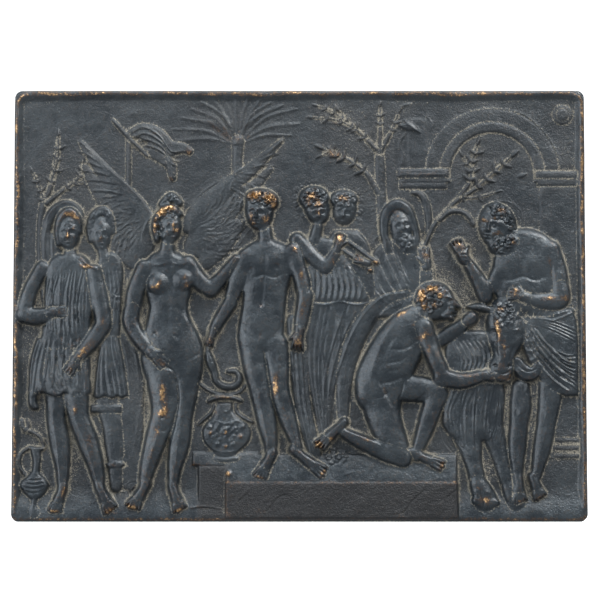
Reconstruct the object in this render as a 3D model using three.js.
// Relief plaque: one cast plate with a raised rim and a scene of figures on its front.
// Millimetres, +Z up. The plate stands upright, its front faces -Y and its flat back lies in the
// plane y = 0, with the origin at the centre of the back.
// Heights of the relief are measured from the plate's ground.
import * as THREE from "three";

const NODE = "relief_plaque";
const WIDTH = 102;
const HEIGHT = 77;
const PLATE = 2.0;               // thickness of the plate under the ground of the relief
const CORNER = 1.4;              // radius of the outer corners
const CELLS_X = 356;             // steps of the height field across
const CELLS_Z = 268;             // and up
const FACETS = 9300;             // triangles of the finished front
const NOTHING = -9;              // height where a figure has no body yet

const RIM_HEIGHT = 1.15;
const RIM_CREST = 0.8;           // from the outer edge to the crest of the rim
const RIM_FOOT = 2.0;            // from the outer edge to the inner foot of the rim
const RIM_CORNER = 2.6;          // inner corner radius of the rim
const STRIP_TOP = 1.0;           // the ground strip along the foot of the scene
const STRIP_RISE = 6.0;          // how far up the strip runs out

const PLINTH_TOP = 1.5;
const TREE = 0.5;
const FAR = 1.05;                // figures in the back row
const MIDDLE = 1.5;
const NEAR = 2.1;                // figures in the front row

// Half widths of a grown figure in this scene
const BUILD = {
  head: [2.1, 3.0],
  neck: 1.25,
  upperArm: 1.55,
  forearm: 1.4,
  wrist: 0.9,
  hand: 0.85,
  thigh: 2.8,
  knee: 2.0,
  calf: 2.0,
  ankle: 1.05,
  foot: 0.95,
};

// ---------------------------------------------------------------- height field

const stepX = WIDTH / CELLS_X;
const stepZ = HEIGHT / CELLS_Z;
const xs = Float64Array.from({ length: CELLS_X + 1 }, (_, i) => -WIDTH / 2 + i * stepX);
const zs = Float64Array.from({ length: CELLS_Z + 1 }, (_, j) => -HEIGHT / 2 + j * stepZ);
const ground = new Float64Array(xs.length * zs.length);

// The layer that is being drawn: a figure melts together here before it is set on the ground.
const layer = {
  height: new Float64Array(ground.length).fill(NOTHING),
  edge: new Float64Array(ground.length).fill(NOTHING),
  blend: 0.4,
};

const clamp = (v, low, high) => Math.min(Math.max(v, low), high);
const smooth = (t) => t * t * (3 - 2 * t);

function softMax(a, b, blend) {
  const overlap = Math.max(blend - Math.abs(a - b), 0);
  return Math.max(a, b) + (overlap * overlap) / (4 * blend);
}

// Calls visit(x, z, index) for every grid point of a box.
function eachPoint([x0, x1, z0, z1], visit) {
  const i0 = clamp(Math.ceil((x0 + WIDTH / 2) / stepX), 0, CELLS_X);
  const i1 = clamp(Math.floor((x1 + WIDTH / 2) / stepX), 0, CELLS_X);
  const j0 = clamp(Math.ceil((z0 + HEIGHT / 2) / stepZ), 0, CELLS_Z);
  const j1 = clamp(Math.floor((z1 + HEIGHT / 2) / stepZ), 0, CELLS_Z);
  for (let j = j0; j <= j1; j++) {
    for (let i = i0; i <= i1; i++) {
      visit(xs[i], zs[j], j * xs.length + i);
    }
  }
}

function around(points, margin) {
  const x = points.map((p) => p[0]);
  const z = points.map((p) => p[1]);
  return [Math.min(...x) - margin, Math.max(...x) + margin, Math.min(...z) - margin,
    Math.max(...z) + margin];
}

// Raises the layer; inside is the distance from the outline, positive within it.
function raise(index, height, inside) {
  if (inside > 0) {
    layer.height[index] = softMax(layer.height[index], height, layer.blend);
  }
  layer.edge[index] = Math.max(layer.edge[index], inside);
}

// Draws a figure in the layer and sets it on the ground with a shallow trench around its outline.
function cast(draw, { blend = 0.4, trench = 0.15, reach = 0.4 } = {}) {
  layer.height.fill(NOTHING);
  layer.edge.fill(NOTHING);
  layer.blend = blend;
  draw();
  for (let k = 0; k < ground.length; k++) {
    const out = Math.max(-layer.edge[k], 0);
    if (out < 3 * reach) {
      const cut = trench * Math.exp(-((out / reach) ** 2));
      ground[k] = Math.max(ground[k] - cut, Math.min(ground[k], -0.1));
    }
    ground[k] = softMax(ground[k], layer.height[k], 0.06);
  }
}

// A smooth curve through rows of numbers, about a step apart in its first two.
function curve(rows, step = 0.6) {
  if (rows.length < 2) return rows;
  const first = rows[0].map((v, k) => 2 * v - rows[1][k]);
  const last = rows.at(-1).map((v, k) => 2 * v - rows.at(-2)[k]);
  const p = [first, ...rows, last];
  const out = [];
  for (let i = 1; i < p.length - 2; i++) {
    const n = Math.max(1, Math.ceil(Math.hypot(p[i + 1][0] - p[i][0], p[i + 1][1] - p[i][1]) / step));
    for (let s = 0; s < n; s++) {
      const t = s / n;
      out.push(p[i].map((b, k) => {
        const [a, c, d] = [p[i - 1][k], p[i + 1][k], p[i + 2][k]];
        const bend = (2 * a - 5 * b + 4 * c - d) * t * t + (3 * b - a - 3 * c + d) * t * t * t;
        return 0.5 * (2 * b + (c - a) * t + bend);
      }));
    }
  }
  out.push(rows.at(-1));
  return out;
}

// A rounded member through stations of [x, z, radius, crest height].
function limb(stations, flat = 0.55) {
  const line = curve(stations);
  const widest = Math.max(...line.map((s) => s[2]));
  for (let k = 0; k + 1 < line.length; k++) {
    const [ax, az, ar, at] = line[k];
    const [bx, bz, br, bt] = line[k + 1];
    const [dx, dz] = [bx - ax, bz - az];
    const length2 = dx * dx + dz * dz || 1e-9;
    eachPoint(around([line[k], line[k + 1]], widest + 1.2), (x, z, index) => {
      const t = clamp(((x - ax) * dx + (z - az) * dz) / length2, 0, 1);
      const radius = Math.max(ar + t * (br - ar), 0.1);
      const away = Math.hypot(x - ax - t * dx, z - az - t * dz);
      const round = 1 - Math.sqrt(Math.max(1 - (away / radius) ** 2, 0));
      raise(index, at + t * (bt - at) - flat * radius * round, radius - away);
    });
  }
}

// An oval boss.
function knob([cx, cz], rx, rz, top, { flat = 0.55, angle = 0 } = {}) {
  const [c, s] = [Math.cos(angle * Math.PI / 180), Math.sin(angle * Math.PI / 180)];
  const small = Math.min(rx, rz);
  eachPoint(around([[cx, cz]], Math.max(rx, rz) + 1.2), (x, z, index) => {
    const u = ((x - cx) * c + (z - cz) * s) / rx;
    const v = (-(x - cx) * s + (z - cz) * c) / rz;
    const rho = Math.hypot(u, v);
    raise(index, top - flat * small * (1 - Math.sqrt(Math.max(1 - rho * rho, 0))), (1 - rho) * small);
  });
}

// A body through rows of [z, left, right, crest], from the top down, rounded across and at its ends.
// With folds, the surface is pleated into that many.
function body(rows, { drop = 0.8, power = 2.4, ends = 1, folds = 0, depth = 0.3 } = {}) {
  const line = curve(rows.map(([z, left, right, top]) => [0, z, left, right, top]), 0.3);
  const table = line.map((row) => row.slice(1)).reverse();
  const [bottom, top] = [table[0][0], table.at(-1)[0]];
  const box = [Math.min(...table.map((r) => r[1])) - 1.2, Math.max(...table.map((r) => r[2])) + 1.2,
    bottom - 1.2, top + 1.2];
  eachPoint(box, (x, z, index) => {
    const at = clamp(z, bottom, top);
    let k = 0;
    while (k + 2 < table.length && table[k + 1][0] < at) k++;
    const t = clamp((at - table[k][0]) / (table[k + 1][0] - table[k][0] || 1), 0, 1);
    const [, left, right, crest] = table[k].map((v, n) => v + t * (table[k + 1][n] - v));
    const u = clamp((x - left) / (right - left), 0, 1);
    const across = Math.max(1 - Math.abs(2 * u - 1) ** power, 0) ** (1 / power);
    const end = clamp(Math.min(z - bottom, top - z) / ends, 0, 1);
    const tip = Math.sqrt(Math.max(1 - (1 - end) ** 2, 0));
    const pleat = folds ? depth * (Math.abs(2 * ((folds * u) % 1) - 1) - 0.5) * Math.min(4 * across, 1) : 0;
    const inside = Math.min(x - left, right - x, z - bottom, top - z);
    raise(index, crest - drop * (1 - across) - drop * (1 - tip) - pleat, inside);
  });
}

// A flat-topped block; slope is how much higher its foot is than its head.
function block(x0, x1, z0, z1, top, { bevel = 0.25, slope = 0 } = {}) {
  eachPoint([x0 - 1, x1 + 1, z0 - 1, z1 + 1], (x, z, index) => {
    const inside = Math.min(x - x0, x1 - x, z - z0, z1 - z);
    const lean = slope * (z1 - z) / (z1 - z0);
    raise(index, top + lean - 0.7 * Math.max(bevel - inside, 0), inside);
  });
}

// The upper part of a flat ring, above its springing line.
function ring([cx, cz], inner, outer, top, springing) {
  eachPoint([cx - outer - 1, cx + outer + 1, springing, cz + outer + 1], (x, z, index) => {
    const away = Math.hypot(x - cx, z - cz);
    const inside = Math.min(away - inner, outer - away);
    raise(index, top - 0.7 * Math.max(0.25 - inside, 0), inside);
  });
}

// A soft swelling of what is drawn so far.
function swell([cx, cz], radius, amount) {
  eachPoint(around([[cx, cz]], 2.2 * radius), (x, z, index) => {
    if (layer.height[index] > NOTHING) {
      layer.height[index] += amount * Math.exp(-1.4 * ((x - cx) ** 2 + (z - cz) ** 2) / radius ** 2);
    }
  });
}

// ---------------------------------------------------------------- parts of a figure

const mid = (a, b, t = 0.5) => [a[0] + t * (b[0] - a[0]), a[1] + t * (b[1] - a[1])];

function arm(shoulder, elbow, hand, top, build = 1) {
  const { upperArm, forearm, wrist } = BUILD;
  limb([[...shoulder, upperArm * build, top], [...mid(shoulder, elbow), upperArm * build, top],
    [...elbow, forearm * build, top + 0.05]]);
  limb([[...elbow, forearm * build, top + 0.05], [...mid(elbow, hand, 0.45), forearm * build, top + 0.1],
    [...mid(elbow, hand, 0.85), wrist * build, top + 0.1], [...hand, BUILD.hand * build, top + 0.1]]);
  const reach = Math.hypot(hand[0] - elbow[0], hand[1] - elbow[1]);
  const fingertip = mid(elbow, hand, 1 + 1.3 * build / reach);
  limb([[...hand, BUILD.hand * build, top + 0.1], [...fingertip, 0.5 * build, top - 0.1]]);
}

// lean is how far the calf swells past the straight line from knee to ankle, to the right.
function leg(hip, knee, ankle, toe, top, { build = 1, lean = 0 } = {}) {
  const { thigh, calf, foot } = BUILD;
  const shin = mid(knee, ankle, 0.32);
  limb([[...hip, thigh * build, top], [...mid(hip, knee), thigh * 0.92 * build, top],
    [...knee, BUILD.knee * build, top + 0.1], [shin[0] + lean, shin[1], calf * build, top],
    [...mid(knee, ankle, 0.7), 1.5 * build, top - 0.1], [...ankle, BUILD.ankle * build, top - 0.05]]);
  limb([[...ankle, 1.1 * build, top], [...mid(ankle, toe, 0.6), foot * build, top],
    [...toe, 0.75 * build, top - 0.1]]);
}

function head(centre, top, { size = 1, tilt = 0, hair = [0, 1.6], beard = false } = {}) {
  const [rx, rz] = BUILD.head.map((v) => v * size);
  knob(centre, rx, rz, top, { angle: tilt });
  knob([centre[0] + hair[0], centre[1] + hair[1]], rx * 1.15, rz * 0.62, top + 0.08, { flat: 0.4 });
  const [c, s] = [Math.cos(tilt * Math.PI / 180), Math.sin(tilt * Math.PI / 180)];
  const at = (u, v) => [centre[0] + u * rx * c - v * rz * s, centre[1] + u * rx * s + v * rz * c];
  swell(at(-0.36, 0.1), 0.45 * size, -0.22);
  swell(at(0.36, 0.1), 0.45 * size, -0.22);
  swell(at(0, -0.15), 0.4 * size, 0.25);
  swell(at(0, -0.5), 0.35 * size, -0.14);
  swell(at(0, -0.78), 0.5 * size, beard ? 0.4 : 0.12);
}

// ---------------------------------------------------------------- the scene

function frame() {
  const rim = (d) => {
    const rise = clamp(d / RIM_CREST, 0, 1);
    const fall = clamp((RIM_FOOT - d) / (RIM_FOOT - RIM_CREST), 0, 1);
    return RIM_HEIGHT * Math.min(0.45 + 0.55 * Math.sqrt(rise * (2 - rise)), smooth(fall));
  };
  const inset = (side, top) => {
    const [a, b] = [Math.max(RIM_CORNER - side, 0), Math.max(RIM_CORNER - top, 0)];
    return a > 0 && b > 0 ? RIM_CORNER - Math.hypot(a, b) : Math.min(side, top);
  };
  eachPoint([-WIDTH / 2, WIDTH / 2, -HEIGHT / 2, HEIGHT / 2], (x, z, index) => {
    const foot = z + HEIGHT / 2;
    const strip = STRIP_TOP * smooth(clamp((STRIP_RISE - foot) / (STRIP_RISE - 0.8), 0, 1));
    const edge = 0.35 * clamp(1 - foot / 0.7, 0, 1) ** 2;
    const border = rim(inset(WIDTH / 2 - Math.abs(x), HEIGHT / 2 - z));
    ground[index] = Math.max(border, strip - edge, 0);
  });
}

function arch() {
  cast(() => {
    block(17.9, 26.3, 20.9, 24.4, 0.42);
    block(19.2, 25.3, 10.0, 21.0, 0.16);
    block(19.4, 23.0, 24.3, 33.6, 0.2);
    block(42.6, 49.6, 21.4, 24.0, 0.42);
    block(43.0, 49.4, -27.5, 21.4, 0.22);
    block(43.6, 49.6, -27.5, -24.0, 0.4);
    ring([34.5, 23.4], 7.4, 11.9, 0.32, 23.0);
    ring([34.5, 23.5], 7.4, 8.9, 0.45, 22.0);
    knob([47.2, 34.2], 1.7, 1.7, 0.45, { flat: 0.2 });
  }, { blend: 0.03, trench: 0.06 });
}

// A stem with leaves in pairs: base and tip are points, bend moves the middle sideways.
function sprig(base, tip, { pairs = 3, leaf = 1.6, width = 0.4, top = TREE, stem = 0.25, bend = 0 } = {}) {
  const [dx, dz] = [tip[0] - base[0], tip[1] - base[1]];
  const length = Math.hypot(dx, dz);
  const middle = [(base[0] + tip[0]) / 2 - dz / length * bend, (base[1] + tip[1]) / 2 + dx / length * bend];
  limb([[...base, stem, top], [...middle, stem * 0.85, top], [...tip, stem * 0.6, top]]);
  for (let k = 0; k < pairs; k++) {
    const root = mid(middle, tip, k / pairs);
    for (const side of [-1, 1]) {
      const angle = Math.atan2(dz, dx) + side * 0.85;
      const end = [root[0] + leaf * Math.cos(angle), root[1] + leaf * Math.sin(angle)];
      limb([[...root, width * 0.5, top], [...mid(root, end), width, top], [...end, width * 0.3, top]]);
    }
  }
}

function trees() {
  cast(() => {
    limb([[-45.6, -1.2, 0.71, 0.6], [-46.5, 7.7, 0.71, 0.6], [-46.1, 16.6, 0.71, 0.55],
      [-44.5, 21.2, 0.53, 0.5], [-43.2, 30.1, 0.27, 0.4]]);
    sprig([-44.1, 22.3], [-43.2, 30.8]);
    sprig([-45.2, 18.2], [-38.4, 24.1]);
    limb([[-11.0, 21.2, 1.07, 0.6], [-11.3, 25.1, 0.98, 0.55], [-11.0, 28.9, 0.8, 0.5]]);
    limb([[15.1, 12.5, 0.89, 0.55], [14.7, 18.7, 0.89, 0.55], [14.4, 25.0, 0.89, 0.5],
      [14.5, 34.8, 0.32, 0.4]]);
    sprig([14.4, 27.6], [3.3, 33.5], { pairs: 5, bend: 0.8 });
    sprig([14.5, 27.6], [17.4, 33.3], { pairs: 3 });
    sprig([14.0, 20.2], [4.7, 27.6], { pairs: 5, bend: 1.0 });
  }, { blend: 0.05, trench: 0.1 });
}

// Fronds of the palm fan out from its head in even steps and droop at the sides.
function palm() {
  const foot = [-11.0, 28.4];
  const fronds = 11;
  cast(() => {
    for (let k = 0; k < fronds; k++) {
      const t = k / (fronds - 1);
      const angle = Math.PI * (0.92 - 0.84 * t);
      const reach = 8.4 + 3.2 * Math.abs(Math.cos(angle)) ** 2;
      const tip = [foot[0] + reach * Math.cos(angle), foot[1] + reach * 0.98 * Math.sin(angle)];
      const bow = [foot[0] + 0.45 * reach * Math.cos(angle),
        foot[1] + 0.55 * reach * Math.sin(angle) + 1.0];
      limb([[...foot, 0.28, 0.5], [...bow, 0.3, 0.5], [...tip, 0.25, 0.35]]);
    }
  }, { blend: 0.05, trench: 0.05 });
}

function banner() {
  cast(() => {
    limb([[-30.6, 18.7, 0.45, 0.5], [-30.6, 29.8, 0.45, 0.5]]);
    limb([[-30.2, 30.1, 1.25, 0.55], [-27.9, 30.5, 1.78, 0.6], [-25.2, 29.2, 1.6, 0.6],
      [-22.7, 27.5, 1.25, 0.6], [-20.2, 27.1, 1.07, 0.55]], 0.25);
    limb([[-27.4, 28.0, 1.07, 0.5], [-24.9, 26.6, 1.43, 0.5], [-23.1, 24.8, 0.89, 0.5],
      [-22.7, 22.6, 0.62, 0.5]], 0.25);
    limb([[-33.4, 33.2, 0.39, 0.7], [-30.6, 30.1, 0.43, 0.75], [-27.2, 26.7, 0.32, 0.65]]);
  }, { blend: 0.1, trench: 0.1 });
}

function wings() {
  cast(() => {
    limb([[-27.4, 14.8, 1.78, 0.8], [-29.5, 17.8, 2.5, 0.8], [-32.7, 21.2, 2.32, 0.75],
      [-35.9, 24.4, 1.6, 0.65], [-39.1, 28.4, 0.62, 0.5]], 0.25);
    limb([[-28.4, 10.7, 2.5, 0.7], [-30.9, 14.1, 3.03, 0.7], [-33.4, 17.8, 2.32, 0.65],
      [-36.3, 20.5, 1.6, 0.55], [-38.8, 23.7, 0.71, 0.45]], 0.2);
    limb([[-29.5, 7.7, 1.43, 0.6], [-32.0, 10.5, 1.78, 0.6], [-34.1, 14.1, 1.43, 0.5]], 0.2);
    limb([[-19.5, 14.8, 1.78, 0.75], [-17.0, 18.0, 2.14, 0.75], [-13.1, 20.9, 1.96, 0.7],
      [-8.5, 24.4, 1.43, 0.6], [-3.5, 28.9, 0.53, 0.5]], 0.25);
    limb([[-18.5, 10.5, 2.14, 0.65], [-16.0, 14.1, 2.67, 0.65], [-12.4, 17.7, 1.96, 0.6],
      [-8.5, 20.5, 1.25, 0.5], [-4.9, 25.0, 0.53, 0.4]], 0.2);
    limb([[-16.7, 7.7, 1.43, 0.55], [-13.8, 10.9, 1.78, 0.55], [-11.7, 14.1, 1.25, 0.5]], 0.2);
  }, { blend: 0.15, trench: 0.1 });
}

function plinths() {
  cast(() => {
    block(-17.9, -12.6, -36.0, -28.8, 0.85);
    block(-19.0, -7.0, -29.2, -26.8, 0.35, { slope: 0.55 });
    block(-13.0, 27.9, -31.7, -26.6, 0.5, { slope: 1.0 });
    block(-13.1, 28.1, -37.9, -31.5, PLINTH_TOP);
  }, { blend: 0.03, trench: 0.06 });
}

function pipePlayers() {
  cast(() => {
    body([[13.0, 5.1, 11.1, 0.9], [7.7, 4.0, 12.9, 1.0], [0.9, 2.2, 13.3, 1.05]], { drop: 0.4 });
    head([8.1, 17.1], FAR + 0.1, { size: 0.95, tilt: -8 });
  });
  cast(() => {
    body([[1.6, 1.2, 12.9, 1.1], [-8.0, 0.8, 9.0, 0.95], [-18.7, 2.9, 6.2, 0.8],
      [-27.6, 4.4, 5.8, 0.7]], { drop: 0.35, folds: 6 });
    limb([[18.8, 2.3, 0.89, 1.0], [14.4, 1.1, 1.07, 1.05], [11.1, -2.0, 1.25, 1.0],
      [8.6, -5.9, 1.25, 0.9], [6.2, -10.2, 1.07, 0.75],
      [4.7, -15.5, 0.89, 0.6], [4.7, -21.2, 0.71, 0.5]]);
  }, { blend: 0.1 });
  cast(() => {
    body([[12.3, -0.3, 5.4, 1.2], [7.7, 1.2, 8.6, 1.3], [3.7, 1.5, 11.1, 1.3],
      [0.5, 1.9, 12.2, 1.2]], { drop: 0.5, folds: 5, depth: 0.2 });
    limb([[3.3, 14.4, 0.89, 1.3], [2.6, 11.9, 1.07, 1.3]]);
  });
  cast(() => arm([-0.4, 11.6], [4.5, 6.6], [7.0, 11.1], 1.6, 0.85));
  cast(() => head([2.9, 17.3], 1.65, { tilt: 15, hair: [-0.4, 1.6] }), { reach: 0.6 });
  cast(() => {
    limb([[7.2, 12.3, 0.36, 1.5], [10.4, 10.0, 0.36, 1.5], [13.8, 7.5, 0.46, 1.5]]);
    limb([[6.9, 10.3, 0.36, 1.45], [9.7, 8.4, 0.36, 1.45], [12.7, 6.1, 0.46, 1.45]]);
  }, { blend: 0.05, trench: 0.1 });
}

function elder() {
  cast(() => body([[12.3, 14.4, 22.2, 0.9], [7.7, 13.3, 24.0, 1.0], [0.9, 12.9, 24.7, 1.0],
    [-2.0, 13.6, 25.1, 0.9]], { drop: 0.4, folds: 5, depth: 0.25 }));
  cast(() => {
    limb([[15.4, 10.9, 0.89, 1.1], [15.1, 14.4, 0.89, 1.15], [16.1, 16.9, 0.98, 1.2],
      [18.3, 17.8, 0.98, 1.2], [20.1, 16.2, 0.71, 1.1],
      [20.8, 12.3, 0.71, 1.0]], 0.4);
    head([18.1, 13.4], 1.35, { tilt: 12, beard: true, hair: [0, 1.2] });
  }, { blend: 0.2 });
  cast(() => {
    limb([[20.2, 20.0, 0.45, 0.75], [21.8, 19.1, 0.71, 0.85], [22.9, 16.6, 0.8, 0.85],
      [23.1, 13.4, 0.53, 0.7]], 0.4);
    limb([[22.2, 10.2, 0.45, 0.9], [24.7, 15.2, 0.45, 0.75], [27.6, 18.2, 0.45, 0.7],
      [30.4, 22.3, 0.36, 0.65]]);
    limb([[24.7, 15.2, 0.45, 0.7], [26.7, 16.8, 0.53, 0.75], [28.6, 16.9, 0.53, 0.75],
      [30.8, 15.9, 0.53, 0.7]]);
    sprig([30.0, 21.6], [31.8, 28.7], { pairs: 4, top: 0.6 });
    sprig([28.6, 19.1], [37.9, 26.6], { pairs: 4, top: 0.6 });
    limb([[22.2, 7.7, 0.89, 1.3], [21.8, 9.5, 0.89, 1.35]]);
  }, { blend: 0.1, trench: 0.1 });
}

function ewer() {
  cast(() => {
    knob([-47.0, -32.3], 2.6, 2.7, 1.4);
    limb([[-46.8, -30.3, 0.8, 1.2], [-46.6, -28.0, 0.71, 1.1], [-46.8, -25.9, 1.07, 1.1]]);
    limb([[-47.0, -34.8, 0.62, 1.2], [-47.0, -36.7, 1.25, 1.3]]);
    limb([[-48.1, -25.5, 0.36, 0.8], [-49.5, -26.6, 0.36, 0.8], [-49.7, -28.7, 0.36, 0.8],
      [-48.8, -30.5, 0.36, 0.8]]);
    limb([[-49.5, -20.5, 0.36, 0.6], [-49.1, -22.3, 0.43, 0.6], [-47.3, -22.6, 0.43, 0.6],
      [-45.2, -25.1, 0.36, 0.6]]);
  }, { blend: 0.15, trench: 0.1 });
}

function shieldBearer() {
  cast(() => limb([[-32.0, -9.8, 3.57, 0.5], [-31.7, -24.1, 3.39, 0.5],
    [-31.3, -29.4, 2.85, 0.45]], 0.08), { trench: 0.12 });
  cast(() => {
    limb([[-34.5, -16.9, 2.14, 0.95], [-33.4, -21.4, 1.69, 0.95], [-33.1, -25.9, 1.6, 0.95],
      [-32.7, -32.6, 1.07, 0.9]]);
    knob([-32.5, -28.5], 1.5, 0.8, 1.1, { flat: 0.3 });
    block(-36.8, -31.8, -19.9, -17.6, 1.0);
  });
  cast(() => body([[-5.2, -35.0, -32.4, 1.15], [-10.5, -36.3, -31.3, 1.15], [-16.4, -37.0, -30.4, 1.1]],
    { drop: 0.25, folds: 7, ends: 0.3 }), { blend: 0.1 });
  cast(() => body([[7.7, -37.0, -31.7, 1.0], [-4.8, -36.3, -31.7, 1.1]], { drop: 0.4 }));
  cast(() => head([-35.8, 12.5], 1.35, { size: 0.85, hair: [-0.2, 1.7] }), { blend: 0.2 });
}

function hoodedWoman() {
  cast(() => {
    limb([[-45.2, 7.7, 0.89, 0.7], [-45.6, 12.5, 0.89, 0.8], [-44.5, 16.4, 1.07, 0.9],
      [-42.4, 17.5, 1.25, 1.0], [-40.0, 16.6, 0.89, 0.95],
      [-39.1, 14.1, 0.53, 0.8]], 0.3);
    limb([[-44.1, 11.6, 1.43, 0.7], [-43.8, 7.7, 1.6, 0.8]], 0.3);
  }, { trench: 0.12 });
  cast(() => leg([-43.6, -14.3], [-43.4, -19.4], [-42.0, -33.7],
    [-43.4, -36.6], 1.6, { build: 0.9, lean: 0.3 }));
  cast(() => leg([-39.5, -14.3], [-39.5, -19.4], [-35.4, -33.0],
    [-33.6, -36.2], 1.9, { build: 0.95, lean: 0.5 }));
  cast(() => {
    body([[-4.5, -45.9, -37.7, 1.75], [-10.2, -46.6, -37.4, 1.9], [-16.2, -46.3, -37.4, 1.85]],
      { drop: 0.5, folds: 8, ends: 0.3 });
    body([[-5.2, -46.6, -44.5, 1.5], [-10.2, -47.7, -45.2, 1.6], [-16.6, -48.2, -46.3, 1.5]],
      { drop: 0.4, folds: 2, ends: 0.4 });
    knob([-47.2, -17.3], 0.95, 1.2, 1.5);
  }, { blend: 0.1 });
  cast(() => {
    body([[8.7, -43.4, -38.4, 1.5], [5.9, -45.9, -35.9, 1.75], [0.9, -45.6, -36.6, 1.9],
      [-3.7, -45.2, -37.4, 1.85], [-7.0, -45.9, -37.4, 1.75]], { drop: 0.7, folds: 6, depth: 0.2 });
    limb([[-40.9, 10.5, 1.07, 1.5], [-40.9, 7.7, 1.25, 1.6]]);
  }, { trench: 0.1 });
  cast(() => arm([-46.6, 5.9], [-49.3, -2.0], [-43.6, -1.6], 1.75));
  cast(() => arm([-36.6, 6.2], [-34.9, -3.7], [-40.0, -10.7], 2.05));
  cast(() => head([-41.3, 12.8], 1.95, { tilt: 3, size: 0.95, hair: [0, 2.0] }), { blend: 0.2 });
}

function wingedWoman() {
  cast(() => {
    leg([-20.6, -8.4], [-20.8, -19.4], [-22.4, -33.3], [-21.3, -36.0], 1.85, { build: 1.05, lean: -0.2 });
    leg([-24.3, -8.7], [-23.8, -19.1], [-27.4, -32.6], [-29.5, -35.7], 2.15, { build: 1.1 });
    body([[9.1, -26.7, -21.0, 1.7], [6.2, -28.1, -18.8, 1.95], [3.0, -27.9, -18.8, 2.05],
      [-0.5, -27.4, -19.3, 1.95], [-4.5, -28.1, -17.9, 2.1], [-8.4, -28.6, -16.9, 2.15],
      [-13.0, -27.4, -17.6, 1.9]], { drop: 1.0, ends: 1.6 });
    limb([[-23.4, 11.9, 1.25, 1.7], [-23.8, 7.7, 1.6, 1.75]]);
    knob([-25.2, 3.7], 1.9, 1.8, 2.45);
    knob([-20.6, 4.3], 1.8, 1.8, 2.4);
    swell([-23.4, -7.7], 3, 0.2);
    swell([-22.9, 2.7], 1.2, -0.12);
  }, { trench: 0.2 });
  cast(() => arm([-20.2, 7.0], [-15.8, 2.5], [-11.0, 8.7], 1.95));
  cast(() => arm([-27.7, 6.2], [-30.0, -3.0], [-24.9, -10.0], 2.2, 1.05));
  cast(() => {
    head([-23.1, 13.7], 2.1, { tilt: -4, hair: [-0.8, 2.2] });
    knob([-22.9, 18.9], 1.8, 1.4, 1.5, { flat: 0.4 });
    limb([[-25.6, 11.6, 0.62, 1.6], [-25.6, 14.8, 0.8, 1.9]]);
  }, { blend: 0.2 });
}

function serpentAndUrn() {
  cast(() => {
    body([[-17.3, -15.1, -11.5, 0.9], [-19.8, -15.4, -11.3, 0.95], [-21.9, -17.0, -8.8, 1.15],
      [-24.1, -16.9, -9.2, 1.2], [-25.9, -15.6, -10.6, 1.1], [-27.3, -14.5, -11.7, 0.9]],
      { drop: 0.6, ends: 0.4 });
    limb([[-16.0, -16.9, 0.45, 0.95], [-13.5, -16.2, 0.53, 1.15], [-10.6, -16.9, 0.45, 0.95]]);
    limb([[-11.3, -20.5, 0.36, 1.0], [-8.5, -21.2, 0.32, 0.9]]);
    limb([[-15.2, -20.5, 0.36, 1.0], [-17.7, -21.4, 0.32, 0.9]]);
  }, { blend: 0.2, trench: 0.12 });
  cast(() => {
    limb([[-16.0, -7.0, 0.62, 1.1], [-16.3, -8.7, 0.62, 1.1], [-15.6, -10.5, 0.89, 1.3],
      [-15.1, -11.9, 0.71, 1.15], [-14.5, -13.7, 0.71, 1.0],
      [-13.1, -14.8, 0.71, 1.0], [-11.3, -14.8, 0.71, 1.0], [-10.3, -13.6, 0.62, 1.0],
      [-10.6, -12.1, 0.53, 0.95], [-12.4, -11.8, 0.45, 0.85]]);
  }, { blend: 0.1, trench: 0.12 });
}

function serpentHandler() {
  cast(() => limb([[-0.6, -2.7, 1.07, 1.1], [-0.1, -15.2, 1.07, 1.1], [2.6, -26.7, 0.89, 1.0]], 0.4));
  cast(() => {
    leg([-4.2, -7.1], [-3.3, -15.2], [0.1, -26.9], [4.5, -30.0], 1.8, { build: 0.88, lean: 0.3 });
    leg([-8.3, -7.1], [-6.5, -16.2], [-5.1, -27.3], [-7.2, -30.7], 1.9, { build: 0.92, lean: 0.2 });
    body([[10.9, -8.5, -3.5, 1.5], [8.7, -11.0, -0.3, 1.8], [5.5, -10.3, -1.3, 1.95],
      [1.6, -10.1, -2.2, 1.85], [-5.2, -11.3, -2.8, 1.85], [-8.7, -10.3, -3.3, 1.5]],
      { drop: 0.95, ends: 1.2 });
    limb([[-6.3, 13.7, 1.25, 1.6], [-5.8, 10.2, 1.78, 1.6]]);
    swell([-8.1, 7.3], 1.8, 0.16);
    swell([-4.0, 7.7], 1.8, 0.14);
  }, { trench: 0.18 });
  cast(() => arm([-10.1, 8.0], [-12.6, -0.2], [-15.8, -5.7], 1.8, 0.95));
  cast(() => arm([-1.2, 9.5], [1.2, 1.2], [-0.4, -5.5], 1.98));
  cast(() => head([-7.2, 16.6], 2.1, { tilt: 6, size: 1.12, hair: [0.5, 2.1] }), { blend: 0.2 });
}

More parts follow.
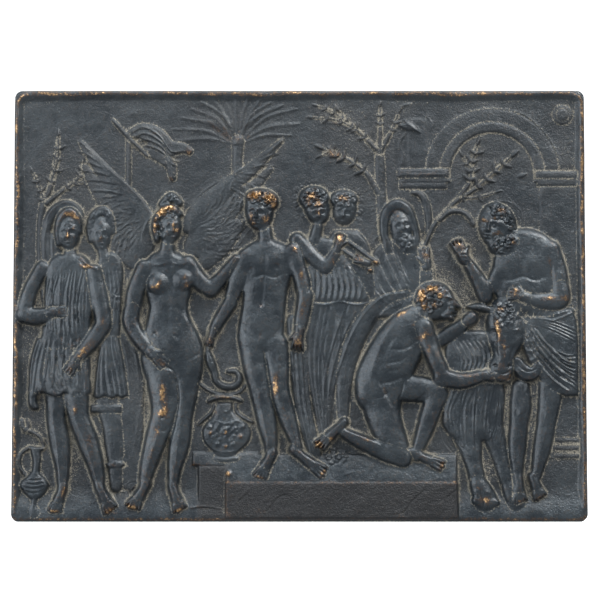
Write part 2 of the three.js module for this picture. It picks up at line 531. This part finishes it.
function ox() {
  cast(() => {
    limb([[35.4, -15.5, 2.5, 1.1], [35.8, -20.5, 1.96, 1.15], [36.5, -25.1, 1.34, 1.15],
      [37.0, -29.4, 1.07, 1.2], [38.2, -34.4, 1.25, 1.35]]);
  });
  cast(() => {
    limb([[29.0, -15.5, 3.03, 1.35], [29.7, -20.2, 2.67, 1.4], [30.6, -24.8, 1.6, 1.4],
      [31.3, -29.1, 1.25, 1.4], [32.0, -32.3, 1.34, 1.45],
      [32.9, -34.4, 1.96, 1.6]]);
  });
  cast(() => body([[-5.9, 26.1, 34.3, 1.3], [-10.9, 25.8, 35.8, 1.45], [-16.2, 25.1, 36.8, 1.5],
    [-21.6, 24.3, 35.8, 1.45], [-26.9, 25.8, 33.3, 1.3]],
    { drop: 0.6, folds: 8, depth: 0.3 }), { blend: 0.1 });
  cast(() => {
    limb([[36.6, -3.0, 2.85, 1.6], [36.1, -7.0, 2.5, 1.8], [35.8, -10.2, 1.69, 1.9],
      [35.8, -11.9, 1.52, 1.85]], 0.45);
    limb([[35.2, -3.0, 0.89, 1.95], [35.8, -9.5, 0.89, 2.05]], 0.4);
    knob([36.8, -2.3], 2.4, 1.7, 1.9, { flat: 0.4 });
    swell([33.8, -5.5], 0.45, -0.2);
  }, { blend: 0.3 });
  cast(() => {
    limb([[30.4, -0.5, 0.36, 1.2], [32.2, -0.4, 0.89, 1.5], [34.3, -1.1, 0.53, 1.4]]);
    limb([[37.9, -9.8, 0.45, 1.2], [39.0, -11.9, 0.62, 1.3], [40.7, -12.7, 0.62, 1.3],
      [42.5, -11.6, 0.45, 1.2]]);
  }, { trench: 0.12 });
}

function oxLeader() {
  cast(() => leg([45.0, -12.7], [44.0, -19.4], [41.5, -31.6], [42.4, -34.6], 1.35, { build: 0.95 }));
  cast(() => leg([39.5, -12.7], [39.1, -19.4], [38.8, -31.6], [39.5, -35.1], 1.55, { build: 0.98 }));
  cast(() => {
    limb([[42.2, -3.0, 2.5, 1.5], [44.0, -7.7, 3.92, 1.6], [45.7, -11.9, 3.21, 1.55],
      [47.5, -14.1, 1.78, 1.4]], 0.3);
    body([[-0.5, 38.6, 48.6, 1.4], [-6.2, 40.0, 49.5, 1.5], [-11.9, 42.9, 49.5, 1.5],
      [-15.9, 46.8, 49.5, 1.3]], { drop: 0.5, folds: 4, depth: 0.3 });
  }, { blend: 0.2 });
  cast(() => {
    body([[12.3, 35.8, 45.0, 1.5], [9.1, 34.3, 46.5, 1.75], [5.2, 34.0, 45.7, 1.8],
      [0.9, 34.7, 45.0, 1.7], [-2.0, 35.8, 45.7, 1.5]], { drop: 0.75 });
    swell([37.2, 7.0], 2, 0.15);
    swell([42.2, 7.3], 2, 0.15);
  });
  cast(() => arm([35.0, 6.2], [32.7, 2.7], [29.0, 9.1], 1.75));
  cast(() => arm([44.3, 9.8], [46.5, 0.9], [39.3, 1.4], 1.92, 1.1));
  cast(() => head([35.4, 14.1], 1.95, { tilt: 12, size: 1.45, hair: [0.8, 2.4], beard: true }),
    { blend: 0.2 });
}

function kneelingMan() {
  cast(() => {
    limb([[17.2, -14.1, 2.5, 1.6], [21.5, -15.2, 2.5, 1.75], [24.7, -15.5, 1.96, 1.9]]);
    limb([[24.5, -15.7, 1.96, 1.9], [22.9, -19.1, 1.87, 1.85], [21.5, -23.0, 1.52, 1.8],
      [20.8, -26.2, 1.16, 1.85]]);
    limb([[21.0, -27.1, 1.16, 1.9], [22.9, -27.8, 0.89, 1.85], [25.1, -28.5, 0.53, 1.8]]);
  }, { trench: 0.2 });
  cast(() => {
    limb([[13.8, -15.5, 3.92, 2.3], [15.4, -20.5, 3.39, 2.3], [17.2, -25.5, 2.32, 2.3],
      [18.1, -27.3, 1.78, 2.2]], 0.5);
    limb([[18.3, -27.3, 1.69, 2.15], [14.7, -26.2, 1.69, 2.1], [10.8, -24.4, 1.43, 2.0],
      [7.9, -23.0, 1.07, 2.0]]);
    limb([[7.6, -21.9, 1.07, 2.05], [5.8, -23.5, 1.07, 2.0], [3.3, -25.3, 0.89, 1.95]]);
    limb([[20.8, -3.0, 3.21, 2.3], [18.6, -5.5, 4.28, 2.35], [16.5, -9.5, 4.46, 2.3],
      [14.7, -13.4, 4.64, 2.3],
      [13.6, -15.9, 4.1, 2.25]], 0.35);
    swell([17.6, -4.5], 2.4, 0.12);
  }, { trench: 0.2 });
  cast(() => arm([25.8, -4.8], [28.6, -3.6], [32.5, -1.8], 1.5, 0.75));
  cast(() => arm([22.2, -4.1], [25.4, -13.0], [35.2, -11.6], 2.5, 1.05));
  cast(() => {
    head([24.3, 0.5], 2.3, { size: 1.1, tilt: -20, hair: [-1.2, 1.0], beard: true });
    limb([[26.5, 1.6, 0.89, 2.1], [27.4, 0.2, 0.71, 2.0], [26.3, -1.8, 0.71, 2.0]]);
  }, { blend: 0.25 });
}

// A cast keeps no knife edges: every height is drawn a little towards its neighbours.
function soften(passes) {
  const row = xs.length;
  for (let pass = 0; pass < passes; pass++) {
    for (const [step, size] of [[1, row], [row, ground.length]]) {
      const before = Float64Array.from(ground);
      for (let k = 0; k < ground.length; k++) {
        const low = step === 1 && k % size === 0 ? k : k - step;
        const high = step === 1 && k % size === size - 1 ? k : k + step;
        ground[k] = (before[low] ?? before[k]) / 4 + before[k] / 2 + (before[high] ?? before[k]) / 4;
      }
    }
  }
}

frame();
arch();
trees();
palm();
banner();
wings();
plinths();
elder();
pipePlayers();
ewer();
shieldBearer();
hoodedWoman();
serpentAndUrn();
wingedWoman();
serpentHandler();
ox();
oxLeader();
kneelingMan();
soften(1);

// ---------------------------------------------------------------- facets

// Corner squares of the outline are drawn in to quarter circles.
function outline(x, z) {
  const a = clamp((Math.abs(x) - (WIDTH / 2 - CORNER)) / CORNER, 0, 1);
  const b = clamp((Math.abs(z) - (HEIGHT / 2 - CORNER)) / CORNER, 0, 1);
  const px = WIDTH / 2 - CORNER + CORNER * a * Math.sqrt(1 - b * b / 2);
  const pz = HEIGHT / 2 - CORNER + CORNER * b * Math.sqrt(1 - a * a / 2);
  return [a > 0 ? Math.sign(x) * px : x, b > 0 ? Math.sign(z) * pz : z];
}

// A flat sheet stood upright, with the relief as its depth.
const sheet = new THREE.PlaneGeometry(WIDTH, HEIGHT, CELLS_X, CELLS_Z);
const corners = sheet.getAttribute("position");
const points = Array.from({ length: corners.count }, (_, k) => {
  const i = Math.round((corners.getX(k) + WIDTH / 2) / stepX);
  const j = Math.round((corners.getY(k) + HEIGHT / 2) / stepZ);
  const [x, z] = outline(xs[i], zs[j]);
  return [x, -(PLATE + ground[j * xs.length + i]), z];
});
const order = [...sheet.getIndex().array];
const triangles = Array.from({ length: order.length / 3 }, (_, k) => order.slice(3 * k, 3 * k + 3));

const minus = (p, q) => [p[0] - q[0], p[1] - q[1], p[2] - q[2]];
const cross = (p, q) => [p[1] * q[2] - p[2] * q[1], p[2] * q[0] - p[0] * q[2], p[0] * q[1] - p[1] * q[0]];
const dot = (p, q) => p[0] * q[0] + p[1] * q[1] + p[2] * q[2];

// Sum of squared distances to planes, kept as the ten numbers of a symmetric matrix.
function planeQuadric(normal, point, weight) {
  const size = Math.hypot(...normal) || 1;
  const [a, b, c] = normal.map((v) => v / size);
  const d = -dot([a, b, c], point);
  return [a * a, a * b, a * c, a * d, b * b, b * c, b * d, c * c, c * d, d * d].map((v) => v * weight);
}

function cost(q, [x, y, z]) {
  return q[0] * x * x + 2 * q[1] * x * y + 2 * q[2] * x * z + 2 * q[3] * x + q[4] * y * y
    + 2 * q[5] * y * z + 2 * q[6] * y + q[7] * z * z + 2 * q[8] * z + q[9];
}

// A queue that always gives back its cheapest entry.
class Queue {
  entries = [];

  push(entry) {
    const list = this.entries;
    let k = list.push(entry) - 1;
    while (k > 0 && list[(k - 1) >> 1].cost > entry.cost) {
      list[k] = list[(k - 1) >> 1];
      k = (k - 1) >> 1;
    }
    list[k] = entry;
  }

  pop() {
    const list = this.entries;
    const cheapest = list[0];
    const entry = list.pop();
    if (list.length === 0) return cheapest;
    let k = 0;
    for (;;) {
      let child = 2 * k + 1;
      if (child + 1 < list.length && list[child + 1].cost < list[child].cost) child++;
      if (child >= list.length || list[child].cost >= entry.cost) break;
      list[k] = list[child];
      k = child;
    }
    list[k] = entry;
    return cheapest;
  }
}

// Merges neighbouring points, the least noticeable first, until the wanted number of triangles is left.
function simplify(wanted) {
  const faces = triangles.map((t) => [...t]);
  const touching = points.map(() => new Set());
  const quadrics = points.map(() => new Array(10).fill(0));
  const changes = new Uint32Array(points.length);
  const onBorder = new Uint8Array(points.length);
  const queue = new Queue();
  const accumulate = (v, q) => q.forEach((value, k) => { quadrics[v][k] += value; });
  const shared = (u, v) => [...touching[u]].filter((f) => faces[f].includes(v));
  const neighbours = (v) => new Set([...touching[v]].flatMap((f) => faces[f]).filter((w) => w !== v));

  faces.forEach((face, f) => {
    const [a, b, c] = face.map((v) => points[v]);
    const normal = cross(minus(b, a), minus(c, a));
    const quadric = planeQuadric(normal, a, Math.hypot(...normal) + 0.02);
    for (const v of face) {
      touching[v].add(f);
      accumulate(v, quadric);
    }
  });
  faces.forEach((face) => {
    face.forEach((u, k) => {
      const v = face[(k + 1) % 3];
      if (shared(u, v).length === 1) {
        const along = minus(points[v], points[u]);
        const wall = planeQuadric(cross(along, [0, 1, 0]), points[u], 4);
        accumulate(u, wall);
        accumulate(v, wall);
        onBorder[u] = onBorder[v] = 1;
      }
    });
  });

  function offer(u, v) {
    const edgeFaces = shared(u, v).length;
    if (onBorder[u] && onBorder[v] && edgeFaces !== 1) return;
    const sum = quadrics[u].map((value, k) => value + quadrics[v][k]);
    const [p, q] = [points[u], points[v]];
    const middle = p.map((value, k) => (value + q[k]) / 2);
    const places = onBorder[u] || onBorder[v] ? [] : [middle];
    if (onBorder[u] || !onBorder[v]) places.push(p);
    if (onBorder[v] || !onBorder[u]) places.push(q);
    const costs = places.map((place) => cost(sum, place));
    const best = costs.indexOf(Math.min(...costs));
    const length = Math.hypot(...minus(p, q));
    queue.push({ cost: costs[best] + 1e-5 * length, u, v, place: places[best],
      stamp: changes[u] + changes[v] });
  }

  // A merge may not fold the surface over or leave a sliver.
  function allowed(u, v, place) {
    const common = [...neighbours(u)].filter((w) => neighbours(v).has(w));
    if (common.length !== shared(u, v).length) return false;
    for (const [moving, other] of [[u, v], [v, u]]) {
      for (const f of touching[moving]) {
        if (faces[f].includes(other)) continue;
        const [a, b, c] = faces[f].map((w) => (w === moving ? place : points[w]));
        const [e, g, h] = [minus(b, a), minus(c, b), minus(a, c)];
        const area = e[0] * -h[2] + e[2] * h[0];
        const longest = Math.max(dot(e, e), dot(g, g), dot(h, h));
        if (area < 0.04 * longest) return false;
      }
    }
    return true;
  }

  for (let v = 0; v < points.length; v++) {
    for (const w of neighbours(v)) {
      if (v < w) offer(v, w);
    }
  }
  let left = faces.length;
  while (left > wanted && queue.entries.length > 0) {
    const { u, v, place, stamp } = queue.pop();
    const stale = touching[u].size === 0 || touching[v].size === 0 || stamp !== changes[u] + changes[v];
    if (stale || !allowed(u, v, place)) continue;
    for (const f of shared(u, v)) {
      faces[f].forEach((w) => touching[w].delete(f));
      faces[f] = null;
      left--;
    }
    for (const f of touching[u]) {
      faces[f] = faces[f].map((w) => (w === u ? v : w));
      touching[v].add(f);
    }
    touching[u].clear();
    points[v] = place;
    onBorder[v] = Math.max(onBorder[u], onBorder[v]);
    accumulate(v, quadrics[u]);
    changes[v] += 1 + changes[u];
    for (const w of neighbours(v)) offer(v, w);
  }
  return faces.filter((face) => face !== null);
}

const faces = simplify(FACETS);
const positions = [];
const renumbered = new Map();
const number = (v) => {
  if (!renumbered.has(v)) {
    renumbered.set(v, positions.push(points[v]) - 1);
  }
  return renumbered.get(v);
};
const shell = faces.map((face) => face.map(number));

// Edges with a face on one side only follow one another round the border of the front.
const directed = new Set(shell.flatMap(([a, b, c]) => [`${a}>${b}`, `${b}>${c}`, `${c}>${a}`]));
const following = new Map();
for (const edge of directed) {
  const [a, b] = edge.split(">").map(Number);
  if (!directed.has(`${b}>${a}`)) {
    following.set(a, b);
  }
}
const behind = new Map();
for (const v of following.keys()) {
  const [x, , z] = positions[v];
  behind.set(v, positions.push([x, 0, z]) - 1);
}
const hub = positions.push([7, 0, -5]) - 1;
for (const [v, next] of following) {
  shell.push([v, behind.get(v), behind.get(next)]);
  shell.push([v, behind.get(next), next]);
  shell.push([behind.get(v), hub, behind.get(next)]);
}

const geometry = new THREE.BufferGeometry();
geometry.setAttribute("position", new THREE.Float32BufferAttribute(positions.flat(), 3));
geometry.setIndex(shell.flat());
geometry.computeVertexNormals();

const bronze = new THREE.MeshStandardMaterial({ color: 0x3f464b, roughness: 0.45, metalness: 0.6 });
const plaque = new THREE.Mesh(geometry, bronze);
plaque.name = NODE;

const group = new THREE.Group();
group.name = "relief_plaque_group";
group.add(plaque);

export default group;
